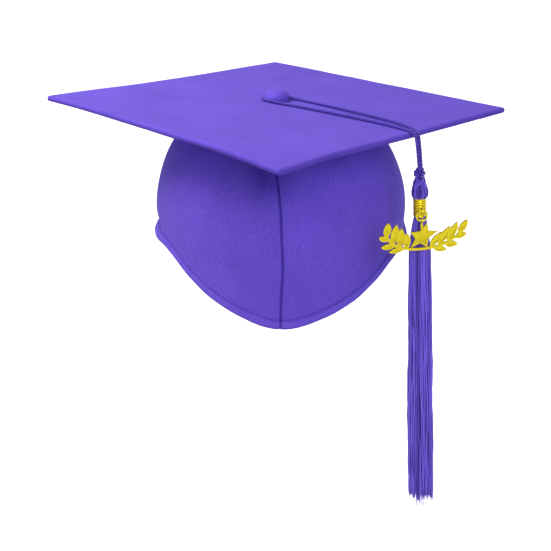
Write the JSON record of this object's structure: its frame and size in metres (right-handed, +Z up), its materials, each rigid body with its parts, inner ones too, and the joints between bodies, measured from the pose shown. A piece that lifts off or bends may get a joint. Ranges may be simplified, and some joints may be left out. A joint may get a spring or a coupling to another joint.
{
  "type": "graduation cap",
  "caption": "Square flat-topped academic cap: soft skull cap with a pointed front, covered button, doubled cord and a long tassel with a gold spring band and leaf-and-star charm.",
  "frame": {"origin": "middle of the head opening, on the cap's centre line, 100 mm below the top of the board", "axes": "+Z up out of the board's top, the board level; a corner of the board points to the front, -Y, where the skull cap has its pointed peak; +X is the viewer's right"},
  "size_m": [0.3374, 0.3374, 0.2819],
  "materials": {
    "cloth": "matt woven polyester",
    "card": "grey board",
    "elastic": "woven elastic",
    "steel": "plain",
    "cord": "twisted rayon cord",
    "yarn": "rayon yarn with a soft sheen",
    "gold": "bright gold-tone plating"
  },
  "bodies": {
    "cap": {"board_cover_top": "cloth", "board_core": "card", "board_cover_under": "cloth", "crown_left": "cloth", "crown_right": "cloth", "hem_facing_left": "cloth", "hem_facing_right": "cloth", "elastic_band": "elastic", "elastic_casing": "cloth", "crown_top_disc": "cloth"},
    "button": {"button_cover": "cloth", "button_shell": "steel", "button_post": "steel", "button_washer": "steel"},
    "loop": {"loop_cord": "cord"},
    "knot": {"cord_knot": "cord"},
    "tassel": {"tassel_head": "yarn", "tassel_core": "yarn", "band_coil": "gold", "band_eye": "gold", "fringe": "yarn"},
    "ring": {"jump_ring": "gold"},
    "charm": {"charm": "gold"}
  },
  "joints": [
    {"name": "loop_swivel", "type": "hinge", "parent": "cap", "child": "button", "pos_m": [0, 0.012, 0.1], "axis": [0, 0, 1], "range_deg": [-8, 8]},
    {"name": "loop_lift", "type": "slide", "parent": "button", "child": "loop", "axis": [0, 0, 1], "range_m": [0, 0.012]},
    {"name": "tassel_out", "type": "hinge", "parent": "loop", "child": "knot", "pos_m": [0.09503, -0.08657, 0.0749], "axis": [-0.7071, -0.7071, 0], "range_deg": [-20, 70]},
    {"name": "tassel_side", "type": "hinge", "parent": "knot", "child": "tassel", "pos_m": [0.09503, -0.08657, 0.0749], "axis": [0.7042, -0.7042, 0.0906], "range_deg": [-45, 45]},
    {"name": "ring_swing", "type": "hinge", "parent": "tassel", "child": "ring", "pos_m": [0.09657, -0.0971, 0.05138], "axis": [-0.9979, -0.0021, -0.0641], "range_deg": [-1, 75]},
    {"name": "charm_rock", "type": "hinge", "parent": "ring", "child": "charm", "pos_m": [0.09679, -0.09733, 0.04789], "axis": [0.0021, 0.9979, -0.0641], "range_deg": [-35, 35]}
  ]
}
